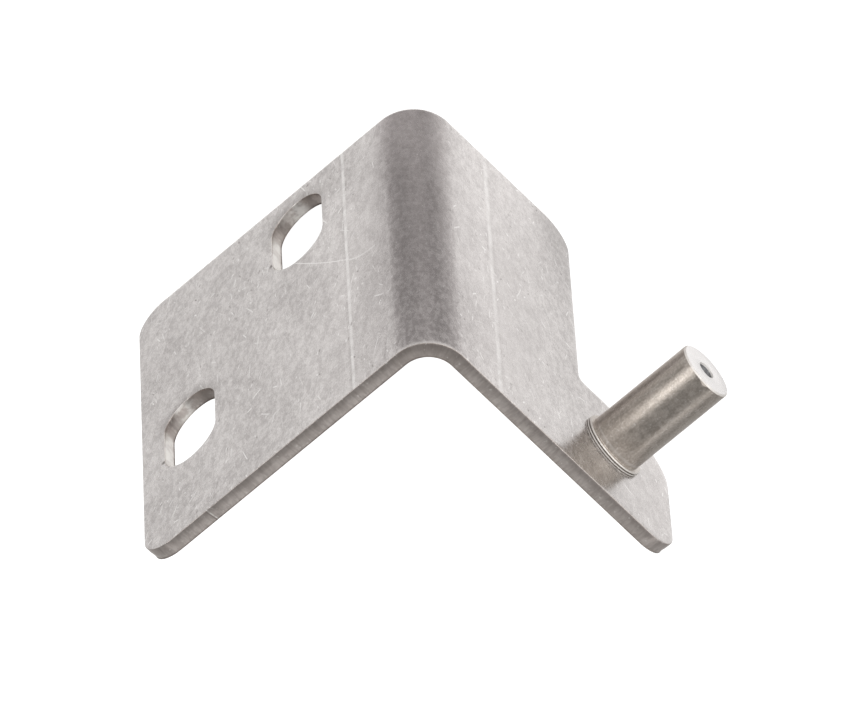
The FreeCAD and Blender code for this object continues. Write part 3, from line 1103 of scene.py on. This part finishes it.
@dataclass
class PivotPin:
    """The turned pin: centre-drilled tip, body, collar, tail and riveted head.

    Attributes:
        low: Lowest corner of the pin's box.
        high: Highest corner of that box.
        radius: Radius of the body that the door turns on.
        sheet: Thickness of the sheet that the tail goes through.
        collar_radius: Radius of the collar.
        collar_height: Height of the collar.
        collar_break: Width of the bevel round the collar, which carries a painted highlight.
        groove_from_plate: From the plate to the groove round the collar's side.
        groove_width: That groove's width.
        groove_depth: Its depth.
        tip_break: Width of the rim round the tip, which carries a painted highlight.
        mouth_radius: Radius of the centre hole's mouth.
        cone_angle: Angle of the cone below the mouth, in degrees.
        pilot_radius: Radius of the narrow hole below the cone.
        pilot_depth: How deep that hole goes before the drill's point.
        drill_angle: Angle of the drill's point, in degrees.
        tail_radius: Radius of the tail.
        head_radius: Radius of the riveted head where it lies on the plate.
        head_crown: Radius of the riveted head's crown.
        steps: Number of steps round the pin.
        burr: How uneven the tip's rim is.
        nick_turn: Where the rim has its widest nick, as a turn from +Y towards +Z, in degrees.
        nick_half_turn: Half of that nick's width, in degrees.
        nick_reach: How far it reaches down the pin's side.
    """

    low: Vector
    high: Vector
    radius: float
    node: str = "pivot_pin"
    slot: str = "pin_steel"
    sheet: float = 2.0 * MM
    collar_radius: float = 4.62 * MM
    collar_height: float = 0.6 * MM
    collar_break: float = 0.14 * MM
    groove_from_plate: float = 0.24 * MM
    groove_width: float = 0.16 * MM
    groove_depth: float = 0.1 * MM
    tip_break: float = 0.2 * MM
    mouth_radius: float = 1.25 * MM
    cone_angle: float = 60.0
    pilot_radius: float = 0.6 * MM
    pilot_depth: float = 2.6 * MM
    drill_angle: float = 118.0
    tail_radius: float = 3.0 * MM
    head_radius: float = 4.2 * MM
    head_crown: float = 2.6 * MM
    steps: int = 180
    burr: float = 0.042 * MM
    nick_turn: float = 82.0
    nick_half_turn: float = 9.0
    nick_reach: float = 0.26 * MM

    def profile(self) -> list[tuple[float, float, float]]:
        """The half section's points: place along the axis, radius, and rounding of the corner."""
        plate_face = -self.collar_height
        plate_back = plate_face - self.sheet
        tip = self.high.x
        cone = (self.mouth_radius - self.pilot_radius) / math.tan(math.radians(self.cone_angle / 2))
        pilot_floor = tip - self.pilot_depth
        point = self.pilot_radius / math.tan(math.radians(self.drill_angle / 2))
        edge, crease = 0.025 * MM, 0.05 * MM
        groove_start = plate_face + self.groove_from_plate
        groove_floor = self.collar_radius - self.groove_depth
        return [
            (self.low.x, 0, 0),
            (self.low.x, self.head_crown, 0.6 * MM),
            (plate_back, self.head_radius, 0),
            (plate_back, self.tail_radius, 0),
            (plate_face, self.tail_radius, 0),
            (plate_face, self.collar_radius, crease),
            (groove_start, self.collar_radius, crease),
            (groove_start + crease, groove_floor, edge),
            (groove_start + self.groove_width - edge, groove_floor, edge),
            (groove_start + self.groove_width, self.collar_radius, edge),
            (-self.collar_break, self.collar_radius, edge),
            (0, self.collar_radius - self.collar_break, edge),
            (0, self.radius + crease, edge),
            (crease, self.radius, edge),
            (1.2 * MM, self.radius, 0),
            (tip - 1.2 * MM, self.radius, 0),
            (tip - self.tip_break, self.radius, edge),
            (tip, self.radius - self.tip_break, edge),
            (tip, self.mouth_radius, edge),
            (tip - cone, self.pilot_radius, edge),
            (pilot_floor, self.pilot_radius, 0),
            (pilot_floor - point, 0, 0),
        ]

    def build(self, effects: Effects) -> bpy.types.Object:
        """Make the pin and dress it."""
        bm = self.turned()
        self.raise_burr(bm)
        bm.normal_update()
        for face in bm.faces:
            middle = face.calc_center_median()
            faced = middle.x > self.high.x - self.tip_break * 1.6 and face.normal.x > 0.9
            drilled = middle.x > 0 and math.hypot(middle.y, middle.z) < self.mouth_radius
            skin = PinSkin.DRILLED if drilled else PinSkin.FACED_TIP if faced else PinSkin.TURNED
            face.material_index = skin.value
        groove = self.groove_from_plate + self.groove_width / 2 - self.collar_height
        places = (groove, -self.collar_height, -self.collar_break / 2, self.high.x - self.tip_break / 2)
        side = TurnedFinish(*places)
        # The inside of the centre hole: a darker copy of the side's finish, painted shade for the hole's depth.
        hole = TurnedFinish(*places, name="drilled_hole_painted_shade", dark=(0.15, 0.15, 0.153),
                            light=(0.29, 0.289, 0.293), roughness=0.5)
        materials = (side.build(effects), FacedTipFinish().build(effects), hole.build(effects))
        return finished_object("turned_pivot_pin", bm, materials, self.node)

    def turned(self) -> bmesh.types.BMesh:
        """Round the half section's corners and spin it about the pin's axis."""
        bm = bmesh.new()
        points = self.profile()
        verts = [bm.verts.new((x, radius, 0)) for x, radius, _ in points]
        bm.faces.new(verts)
        for vert, (_, _, rounding) in zip(verts, points):
            if rounding:
                bmesh.ops.bevel(bm, geom=[vert], offset=rounding, offset_type="OFFSET", segments=4,
                                profile=0.5, affect="VERTICES", material=-1)
        bmesh.ops.delete(bm, geom=bm.faces[:], context="FACES_ONLY")
        axis_edges = [edge for edge in bm.edges if all(abs(vert.co.y) < MERGE_DISTANCE for vert in edge.verts)]
        bmesh.ops.delete(bm, geom=axis_edges, context="EDGES")
        bmesh.ops.spin(bm, geom=bm.verts[:] + bm.edges[:], cent=(0, 0, 0), axis=(1, 0, 0),
                       angle=math.tau, steps=self.steps, use_merge=True)
        bmesh.ops.remove_doubles(bm, verts=bm.verts[:], dist=MERGE_DISTANCE)
        bmesh.ops.recalc_face_normals(bm, faces=bm.faces[:])
        return bm

    def raise_burr(self, bm: bmesh.types.BMesh) -> None:
        """Let the rim where the side meets the tip's break wander along the pin, with one wide nick."""
        start = self.high.x - self.tip_break
        for vert in bm.verts:
            reach = math.hypot(vert.co.y, vert.co.z)
            if abs(vert.co.x - start) < 0.05 * MM and reach > self.radius - 0.04 * MM:
                turn = math.atan2(vert.co.z, vert.co.y)
                around = Vector((math.cos(turn), math.sin(turn), 0.3))
                wander = noise.noise(around * 9) + 0.6 * noise.noise(around * 31)
                nick = 1.0 - abs(math.degrees(turn) - self.nick_turn) / self.nick_half_turn
                vert.co.x += self.burr * wander - self.nick_reach * math.sqrt(max(0.0, nick))


@dataclass
class Studio:
    """The floor, the card on it, the lamps, the world and the camera.

    The card lies on the floor round the outside of the bracket. Only reflections see it, and it
    shades the bend with one even dark band, as a dark flag beside polished metal does.

    Attributes:
        bracket: The folded plate, whose fold the card follows.
        floor_size: Side of the floor.
        floor_color: The floor's own colour.
        white_glow: What makes the floor white to the camera.
        near_glow: What reflections see on the floor, beside its own light, under the part.
        far_glow: The same further out.
        glow_centre: The middle of the bright part, inside the fold.
        glow_reach: How far from there the one ends and the other begins.
        card_margin: How far the card goes on past the flat pattern's ends.
        card_reach: How far it reaches out from the bracket.
        card_turn: The camera's own turn, from +Y towards +X, in degrees.
        slotted_side: Brightness of the card beside the slotted flange.
        pin_side: The same beside the pin flange.
        band: The same beside the bend.
        side_tint: Colour of the sides.
        band_tint: Colour of the part beside the bend.
        band_from: Where the dark begins and is full, from the bend's start.
        band_to: Where the dark ends and is gone, from the bend's end.
        band_slant: How much later it ends for each step out from the bracket.
        band_reach: How far out the dark is full, and how far out it is gone.
        lift: How much paler the slotted side is next to the dark, further out.
        pin_lift: How much paler the pin's side is next to the dark.
        horizon: Brightness of the room at eye level.
        zenith: Brightness of the room overhead.
        beyond_tip: How much brighter the room is on the side that the pin points to.
    """

    bracket: HingeBracket
    floor_size: float = 6.0
    floor_color: Color = (0.66, 0.66, 0.66)
    white_glow: float = 0.8
    near_glow: float = 0.6
    far_glow: float = 0.02
    glow_centre: tuple[float, float] = (-32 * MM, 8 * MM)
    glow_reach: tuple[float, float] = (35 * MM, 90 * MM)
    card_margin: float = 15 * MM
    card_reach: float = 92 * MM
    card_turn: float = 39.4
    slotted_side: float = 0.765
    pin_side: float = 0.945
    band: float = 0.303
    side_tint: Color = (1.0, 0.985, 0.98)
    band_tint: Color = (1.0, 0.945, 0.95)
    band_from: tuple[float, float] = (-2.8 * MM, 1.9 * MM)
    band_to: tuple[float, float] = (-4.45 * MM, 1.4 * MM)
    band_slant: float = 0.035
    band_reach: tuple[float, float] = (40 * MM, 56 * MM)
    lift: float = 0.2
    pin_lift: float = 0.08
    horizon: float = 0.45
    zenith: float = 0.36
    beyond_tip: float = 0.74

    def __post_init__(self) -> None:
        """The floor lies under the bracket."""
        self.floor_level = self.bracket.low.z

    def build(self) -> None:
        """Set the whole studio up."""
        self.floor()
        self.reflection_card()
        self.world()
        self.lamps()
        self.camera()
        bpy.context.scene.view_settings.view_transform = "Standard"

    def floor(self) -> None:
        """A plain pale floor that looks white to the camera and keeps the shadow."""
        bm = bmesh.new()
        bmesh.ops.create_grid(bm, x_segments=1, y_segments=1, size=self.floor_size / 2)
        bmesh.ops.translate(bm, vec=(0, 0, self.floor_level), verts=bm.verts[:])
        material, graph = self.bare_material("pale_floor")
        reach = graph.add("ShaderNodeVectorMath", {0: graph.add("ShaderNodeTexCoord").outputs["Object"],
                          1: (*self.glow_centre, self.floor_level)}, operation="DISTANCE").outputs["Value"]
        mirrored = graph.spread(reach, *self.glow_reach, self.near_glow, self.far_glow)
        rays = graph.add("ShaderNodeLightPath").outputs
        bounced = graph.math("MAXIMUM", rays["Is Glossy Ray"], rays["Is Transmission Ray"])
        strength = graph.math("ADD", graph.math("MULTIPLY", rays["Is Camera Ray"], self.white_glow),
                              graph.math("MULTIPLY", bounced, mirrored))
        matt = graph.add("ShaderNodeBsdfDiffuse", {"Color": opaque(self.floor_color)})
        glow = graph.add("ShaderNodeEmission", {"Strength": strength})
        both = graph.add("ShaderNodeAddShader", {0: matt.outputs[0], 1: glow.outputs[0]})
        graph.add("ShaderNodeOutputMaterial", {"Surface": both.outputs[0]})
        self.stage_piece("floor", bm, material)

    def reflection_card(self) -> None:
        """The card on the floor, laid out along the flat pattern and fanned out round the bend."""
        bracket = self.bracket
        length = bracket.end + 2 * self.card_margin
        bm = bmesh.new()
        bmesh.ops.create_grid(bm, x_segments=240, y_segments=8, size=0.5)
        bmesh.ops.translate(bm, vec=(0.5, 0.5, 0), verts=bm.verts[:])
        bmesh.ops.scale(bm, vec=(length, self.card_reach, 1), verts=bm.verts[:])
        bmesh.ops.translate(bm, vec=(-self.card_margin, 0, 0), verts=bm.verts[:])
        keep_flat_places(bm)
        for vert in bm.verts:
            along, reach = vert.co.x, vert.co.y
            turn, before, after = bracket.place_in_fold(along)
            heading = 2 * turn - math.radians(self.card_turn)
            vert.co = (bracket.bend_x + before + bracket.bend_outer * math.sin(turn) + reach * math.sin(heading),
                       bracket.bend_y - after + bracket.bend_outer * math.cos(turn) + reach * math.cos(heading),
                       self.floor_level + 0.2 * MM)
        material, graph = self.bare_material("reflection_card")
        place = graph.split(graph.add("ShaderNodeUVMap", uv_map="flat").outputs[0])
        dark = self.card_dark(graph, place)
        glow = graph.add("ShaderNodeEmission", {"Color": graph.blend(dark, self.side_tint, self.band_tint),
                                                "Strength": self.card_brightness(graph, place, dark)})
        graph.add("ShaderNodeOutputMaterial", {"Surface": glow.outputs[0]})
        card = self.stage_piece("reflection_card", bm, material)
        card.visible_camera = False
        card.visible_diffuse = False
        card.visible_shadow = False

    def card_dark(self, graph: NodeGraph, place: bpy.types.bpy_prop_collection) -> bpy.types.NodeSocket:
        """Where the card is dark, from 0 beside the flanges to 1 beside the bend."""
        start, end = self.bracket.bend_start, self.bracket.bend_end
        fading = graph.math("SUBTRACT", place[0], graph.math("MULTIPLY", place[1], self.band_slant))
        before = graph.spread(place[0], start + self.band_from[0], start + self.band_from[1])
        after = graph.spread(fading, end + self.band_to[0], end + self.band_to[1], 1.0, 0.0)
        outer = graph.spread(place[1], *self.band_reach, 1.0, 0.0)
        return graph.math("MULTIPLY", graph.math("MULTIPLY", before, after), outer)

    def card_brightness(self, graph: NodeGraph, place: bpy.types.bpy_prop_collection,
                        dark: bpy.types.NodeSocket) -> bpy.types.NodeSocket:
        """How bright the card is: paler beside the flanges and dark beside the bend.

        Args:
            graph: The card's node graph.
            place: The place along the flat pattern, and the distance out from the bracket.
            dark: Where it is dark.

        Returns:
            The brightness.
        """
        start, end = self.bracket.bend_start, self.bracket.bend_end
        middle = (start + end) / 2
        sides = graph.spread(place[0], middle - 1 * MM, middle + 1 * MM, self.slotted_side, self.pin_side)
        beside = graph.stripe(place[0], start - 4 * MM, 2 * MM, 9 * MM)
        lifted = graph.math("MULTIPLY", beside, graph.spread(place[1], 2 * MM, 14 * MM, 0.05, self.lift))
        beyond = graph.math("MULTIPLY", graph.stripe(place[0], end + 4.5 * MM, 3 * MM, 9 * MM),
                            graph.spread(place[1], 14 * MM, 30 * MM, 1.0, 1.5))
        lifted = graph.math("ADD", lifted, graph.math("MULTIPLY", beyond, self.pin_lift))
        before_pin = graph.stripe(place[0], end + 21.5 * MM, 2 * MM, 5 * MM)
        lifted = graph.math("ADD", lifted, graph.math("MULTIPLY", before_pin, -0.21))
        lifted = graph.math("ADD", lifted, graph.spread(place[0], end + 26 * MM, end + 33 * MM, 0.0, 0.11))
        falling = graph.math("MULTIPLY", graph.spread(place[1], 28.5 * MM, 35 * MM, 0.0, -0.09),
                             graph.spread(place[0], end + 11 * MM, end + 16 * MM))
        lifted = graph.math("ADD", lifted, falling)
        sides = graph.math("MULTIPLY", sides, graph.math("ADD", 1.0, lifted))
        paler = graph.math("MULTIPLY", graph.stripe(place[0], middle - 0.3 * MM, 0.1 * MM, 1.6 * MM), 0.05)
        paler = graph.math("ADD", paler, graph.spread(place[1], 2 * MM, 14 * MM, 0.075, 0.0))
        band = graph.math("ADD", paler, self.band)
        lit = graph.math("MULTIPLY", sides, graph.math("SUBTRACT", 1.0, dark))
        low_down = graph.math("MULTIPLY", graph.stripe(place[0], start + 1.2 * MM, 1 * MM, 2.5 * MM),
                              graph.spread(place[1], 2 * MM, 10 * MM, 0.055, 0.0))
        lit = graph.math("ADD", lit, low_down)
        return graph.math("ADD", lit, graph.math("MULTIPLY", band, dark))

    def bare_material(self, name: str) -> tuple[bpy.types.Material, NodeGraph]:
        """An empty material for a piece of the studio, and its node graph."""
        material = bpy.data.materials.new(name)
        material.use_nodes = True
        material.node_tree.nodes.clear()
        return material, NodeGraph(material.node_tree)

    def stage_piece(self, name: str, bm: bmesh.types.BMesh, material: bpy.types.Material) -> bpy.types.Object:
        """Turn a bmesh into a piece of the studio."""
        mesh = bpy.data.meshes.new(name)
        bm.to_mesh(mesh)
        bm.free()
        mesh.materials.append(material)
        piece = bpy.data.objects.new(name, mesh)
        bpy.context.scene.collection.objects.link(piece)
        return piece

    def world(self) -> None:
        """A soft room that is paler at the horizon than overhead, and white to the camera."""
        world = bpy.data.worlds.new("soft_room")
        bpy.context.scene.world = world
        world.use_nodes = True
        world.node_tree.nodes.clear()
        graph = NodeGraph(world.node_tree)
        direction = graph.split(graph.add("ShaderNodeTexCoord").outputs["Generated"])
        level = graph.spread(direction[2], 0.0, 0.75, self.horizon, self.zenith)
        level = graph.math("ADD", level, graph.spread(direction[0], -0.2, 0.4, 0.0, self.beyond_tip))
        room = graph.add("ShaderNodeBackground", {"Strength": level})
        white = graph.add("ShaderNodeBackground", {"Strength": 1.0})
        seen = graph.add("ShaderNodeLightPath").outputs["Is Camera Ray"]
        either = graph.add("ShaderNodeMixShader", {0: seen, 1: room.outputs[0], 2: white.outputs[0]})
        graph.add("ShaderNodeOutputWorld", {"Surface": either.outputs[0]})

    def lamps(self) -> None:
        """Four soft lamps: beside the slotted flange, before and beyond the pin's tip, and overhead."""
        centre = Vector((self.bracket.bend_x, self.bracket.bend_y, 0.0))
        self.lamp("side_softbox", centre, Vector((-0.34, 0.77, 0.55)), 0.9, (0.66, 0.46), 1.75)
        self.lamp("front_softbox", centre, Vector((-0.42, -0.65, 0.63)), 1.1, (1.2, 0.26), 0.8)
        self.lamp("end_softbox", centre, Vector((0.985, 0.0, 0.17)), 1.0, (1.5, 0.5), 1.2)
        self.lamp("overhead", centre, Vector((0.5, -0.1, 0.86)), 1.2, (0.7, 0.7), 0.36)

    def lamp(self, name: str, aim: Vector, direction: Vector, distance: float,
             size: tuple[float, float], radiance: float) -> None:
        """Add a rectangular soft lamp.

        Args:
            name: Its name.
            aim: The point that it faces.
            direction: From that point to the lamp.
            distance: How far away it is.
            size: Its two sides.
            radiance: How bright its face looks, where 1 is white.
        """
        data = bpy.data.lights.new(name, "AREA")
        data.shape = "RECTANGLE"
        data.size, data.size_y = size
        data.energy = radiance * math.pi * size[0] * size[1]
        lamp = bpy.data.objects.new(name, data)
        bpy.context.scene.collection.objects.link(lamp)
        direction = direction.normalized()
        lamp.matrix_world = Matrix.Translation(aim + direction * distance) @ \
            direction.to_track_quat("Z", "Y").to_matrix().to_4x4()

    def camera(self) -> None:
        """The photograph's view: from far off with a long lens, and turned almost upside down."""
        target = Vector((-10.8855, 22.9346, -5.0837)) * MM
        distance = 1.74
        turn, rise, roll = (math.radians(angle) for angle in (50.6313, 61.4394, 176.3638))
        back = Vector((math.cos(rise) * math.cos(turn), math.cos(rise) * math.sin(turn), math.sin(rise)))
        right = Vector((0, 0, 1)).cross(back).normalized()
        axes = Matrix((right, back.cross(right), back)).transposed()
        data = bpy.data.cameras.new("photo_view")
        data.sensor_width = 36.0
        data.lens = 592.2444
        data.clip_start, data.clip_end = 0.05, 20.0
        camera = bpy.data.objects.new("photo_view", data)
        bpy.context.scene.collection.objects.link(camera)
        camera.matrix_world = Matrix.Translation(target + back * distance) @ \
            (axes @ Matrix.Rotation(roll, 3, "Z")).to_4x4()
        bpy.context.scene.camera = camera


def mounts_by_name(record: dict) -> dict[str, dict]:
    """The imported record's mounts, by name."""
    return {mount["name"]: mount for mount in record["mounts"]}


def flat_slots(mounts: dict[str, dict], low: Vector, high: Vector) -> list[Slot]:
    """The openings of the flat pattern: the two slots, and the hole for the pin's tail.

    Args:
        mounts: The record's mounts, by name.
        low: Lowest corner of the bracket's box.
        high: Highest corner of that box.

    Returns:
        The openings.
    """
    slots = []
    for name in ("slot_near", "slot_far"):
        x, _, z = mounts[name]["pos_m"]
        dims = mounts[name]["dims"]
        slots.append(Slot(x - low.x, z, dims["hole_r_mm"] * MM, dims["slot_length_mm"] * MM))
    bend_outer, tail_hole = 6.0 * MM, 3.05 * MM
    pin_along = (high.x - low.x - bend_outer) + bend_outer * math.pi / 2 + (high.y - bend_outer)
    slots.append(Slot(pin_along, 0.0, tail_hole, 2 * tail_hole))
    return slots


def main() -> None:
    """Build the hinge and its studio."""
    logging.basicConfig(level=logging.INFO, format="%(name)s: %(message)s")
    effects = Effects()
    mounts = mounts_by_name(frame["record"])
    low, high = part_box("hinge_bracket")
    bracket = HingeBracket(low, high, flat_slots(mounts, low, high))
    pin_low, pin_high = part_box("pivot_pin")
    pin = PivotPin(pin_low, pin_high, mounts["pivot_pin"]["dims"]["r_mm"] * MM)
    for maker in (bracket, pin):
        piece = maker.build(effects)
        LOG.info("%s has %d faces", piece.name, len(piece.data.polygons))
    Studio(bracket).build()


if __name__ == "__main__":
    main()
